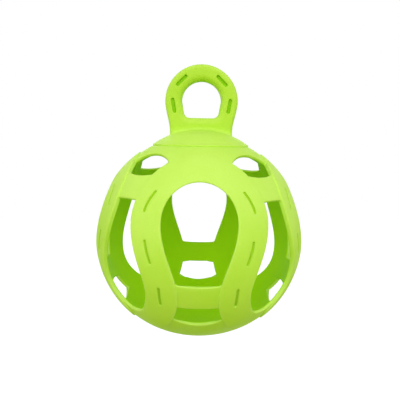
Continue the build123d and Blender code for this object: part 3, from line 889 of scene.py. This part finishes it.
# -------------------------------- rubber
def lime_rubber():
    """Moulded lime rubber: soft gloss, fine grain, slight clouding and waviness, rubbed edges.

    The green is paler where it is rubbed. It carries painted light and shade: paler where it faces
    up, deeper where it faces down, darker on the loop, and deeper inside the ball and in the slots.
    """
    material = bpy.data.materials.new("lime_rubber")
    material.use_nodes = True
    nodes, link = material.node_tree.nodes, material.node_tree.links.new
    shader = nodes["Principled BSDF"]
    shader.inputs["IOR"].default_value = REFRACTION
    shader.inputs["Specular IOR Level"].default_value = SPECULAR_LEVEL

    place = nodes.new("ShaderNodeTexCoord").outputs["Object"]

    def noise(scale, detail, roughness=0.5):
        node = nodes.new("ShaderNodeTexNoise")
        node.inputs["Scale"].default_value = scale
        node.inputs["Detail"].default_value = detail
        node.inputs["Roughness"].default_value = roughness
        link(place, node.inputs["Vector"])
        return node.outputs["Fac"]

    def ramp(value, start, end, low=0.0, high=1.0):
        """Low where the value is at start, high where it is at end, and straight between them."""
        node = nodes.new("ShaderNodeMapRange")
        node.inputs["From Min"].default_value = start
        node.inputs["From Max"].default_value = end
        node.inputs["To Min"].default_value = low
        node.inputs["To Max"].default_value = high
        link(value, node.inputs["Value"])
        return node.outputs["Result"]

    def mixed(share, one, other, blend="MIX"):
        node = nodes.new("ShaderNodeMix")
        node.data_type = "RGBA"
        node.blend_type = blend
        if isinstance(share, int):  # the same share everywhere
            node.inputs["Factor"].default_value = share
        else:
            link(share, node.inputs["Factor"])
        for socket, colour in ((node.inputs["A"], one), (node.inputs["B"], other)):
            if isinstance(colour, tuple):
                socket.default_value = (*colour, 1)
            else:
                link(colour, socket)
        return node.outputs["Result"]

    def attribute(name):
        node = nodes.new("ShaderNodeAttribute")
        node.attribute_name = name
        return node.outputs["Fac"]

    def product(one, other):
        node = nodes.new("ShaderNodeMath")
        node.operation = "MULTIPLY"
        link(one, node.inputs[0])
        link(other, node.inputs[1])
        return node.outputs[0]

    def upward(vector):
        node = nodes.new("ShaderNodeSeparateXYZ")
        link(vector, node.inputs[0])
        return node.outputs["Z"]

    def bump(height, strength, metres):
        node = nodes.new("ShaderNodeBump")
        node.inputs["Strength"].default_value = strength
        node.inputs["Distance"].default_value = metres
        link(height, node.inputs["Height"])
        return node

    painted_shade = attribute("painted_shade")
    clouds = ramp(noise(*CLOUDS), *CONTRAST)
    normal_height = upward(nodes.new("ShaderNodeNewGeometry").outputs["Normal"])
    # painted light and shade: a paler green where the normal faces up, a deeper one where it faces
    # down
    facing_up = ramp(normal_height, *FACING_DOWN_AND_UP)
    open_side = mixed(facing_up, mixed(clouds, *PAINTED_SHADE_GREEN), mixed(clouds, *PAINTED_LIGHT_GREEN))
    # painted shade: the loop and its neck darkened by multiplying with a green
    open_side = mixed(ramp(upward(place), *LOOP_PAINTED_SHADE_HEIGHTS), open_side, LOOP_PAINTED_SHADE, "MULTIPLY")
    rubbed = product(attribute("edge_wear"), ramp(noise(*RUBBING), *RUB_RANGE, *RUB_SHARES))
    open_side = mixed(rubbed, open_side, RUBBED_GREEN)
    # painted shade: the deeper green inside the ball
    colour = mixed(painted_shade, open_side, mixed(clouds, *INSIDE_PAINTED_SHADE_GREEN))
    # painted shade: darker greens on the slots' floors
    colour = mixed(ramp(painted_shade, 0, NAIL_SLOT_FLOOR), colour, NAIL_SLOT_PAINTED_SHADE)
    colour = mixed(ramp(painted_shade, NAIL_SLOT_FLOOR, LOOP_SLOT_FLOOR), colour, LOOP_SLOT_PAINTED_SHADE)
    colour = mixed(1, colour, mixed(ramp(noise(*SPECKS), *CONTRAST), *SPECK_TINTS), "MULTIPLY")
    link(colour, shader.inputs["Base Color"])
    link(ramp(noise(*GLOSS), *GLOSS_RANGE, *ROUGHNESS), shader.inputs["Roughness"])

    grain, waves = bump(noise(*GRAIN), *GRAIN_BUMP), bump(noise(*WAVES), *WAVE_BUMP)
    link(grain.outputs["Normal"], waves.inputs["Normal"])
    link(waves.outputs["Normal"], shader.inputs["Normal"])
    return material


def area_lamp(name, place, power):
    """A large round lamp that points at the ball."""
    light = bpy.data.lights.new(name, "AREA")
    light.shape = "DISK"
    light.size = LAMP_SIZE
    light.energy = power
    lamp = bpy.data.objects.new(name, light)
    lamp.location = place
    lamp.rotation_euler = (Vector(LAMP_TARGET) - Vector(place)).to_track_quat("-Z", "Y").to_euler()
    bpy.context.scene.collection.objects.link(lamp)


def seen_directly(nodes, link):
    """1 where the camera looks, also in gloss and through glass."""
    path = nodes.new("ShaderNodeLightPath")
    seen = path.outputs["Is Camera Ray"]
    for name in ("Is Glossy Ray", "Is Transmission Ray"):
        either = nodes.new("ShaderNodeMath")
        either.operation = "MAXIMUM"
        link(seen, either.inputs[0])
        link(path.outputs[name], either.inputs[1])
        seen = either.outputs[0]
    return seen


def studio():
    """A white room: soft light all round, large soft lamps on four sides, a pale floor far below."""
    world = bpy.data.worlds.new("studio")
    world.use_nodes = True
    bpy.context.scene.world = world
    n, link = world.node_tree.nodes, world.node_tree.links.new
    white = n["Background"]
    white.inputs["Color"].default_value = (1, 1, 1, 1)
    share = n.new("ShaderNodeMapRange")
    share.inputs["To Min"].default_value = ROOM_LIGHT
    link(seen_directly(n, link), share.inputs["Value"])
    link(share.outputs["Result"], white.inputs["Strength"])
    for name, place, power in LAMPS:
        area_lamp(name, place, power)

    mesh = bpy.data.meshes.new("floor")
    signs = ((-1, -1), (1, -1), (1, 1), (-1, 1))
    corners = [(x * FLOOR_REACH, y * FLOOR_REACH, -FLOOR_DROP) for x, y in signs]
    mesh.from_pydata(corners, [], [(0, 1, 2, 3)])
    floor = bpy.data.objects.new("floor", mesh)
    pale = bpy.data.materials.new("floor")
    pale.use_nodes = True
    n, link = pale.node_tree.nodes, pale.node_tree.links.new
    shader = n["Principled BSDF"]
    shader.inputs["Base Color"].default_value = (FLOOR_GREY, FLOOR_GREY, FLOOR_GREY, 1)
    shader.inputs["Roughness"].default_value = FLOOR_ROUGHNESS
    shader.inputs["Emission Color"].default_value = (1, 1, 1, 1)
    glow = n.new("ShaderNodeMapRange")
    glow.inputs["To Max"].default_value = FLOOR_GLOW
    link(seen_directly(n, link), glow.inputs["Value"])
    link(glow.outputs["Result"], shader.inputs["Emission Strength"])
    mesh.materials.append(pale)
    bpy.context.scene.collection.objects.link(floor)


def camera():
    """The photograph's viewpoint: close, a little above, slightly rolled."""
    look = bpy.data.cameras.new("camera")
    look.sensor_width = CAMERA_SENSOR
    look.lens = CAMERA_LENS
    look.clip_start, look.clip_end = CAMERA_CLIP
    eye = bpy.data.objects.new("camera", look)
    turn = Matrix.Rotation(radians(CAMERA_YAW), 4, "Z")
    tilt = Matrix.Rotation(radians(90) - radians(CAMERA_PITCH), 4, "X")
    spin = Matrix.Rotation(-radians(CAMERA_ROLL), 4, "Z")
    eye.matrix_world = turn @ Matrix.Translation(CAMERA_PLACE) @ tilt @ spin
    bpy.context.scene.collection.objects.link(eye)
    bpy.context.scene.camera = eye


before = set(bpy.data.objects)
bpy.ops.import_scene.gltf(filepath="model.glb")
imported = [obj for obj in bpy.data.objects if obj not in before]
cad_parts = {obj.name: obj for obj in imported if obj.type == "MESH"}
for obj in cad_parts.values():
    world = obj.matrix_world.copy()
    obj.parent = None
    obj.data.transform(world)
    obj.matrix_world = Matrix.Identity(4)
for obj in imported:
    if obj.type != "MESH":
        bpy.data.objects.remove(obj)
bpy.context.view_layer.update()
camera()
studio()
rubber = lime_rubber()
cage()
hanger()
cap()
bpy.context.scene.view_settings.view_transform = "Standard"
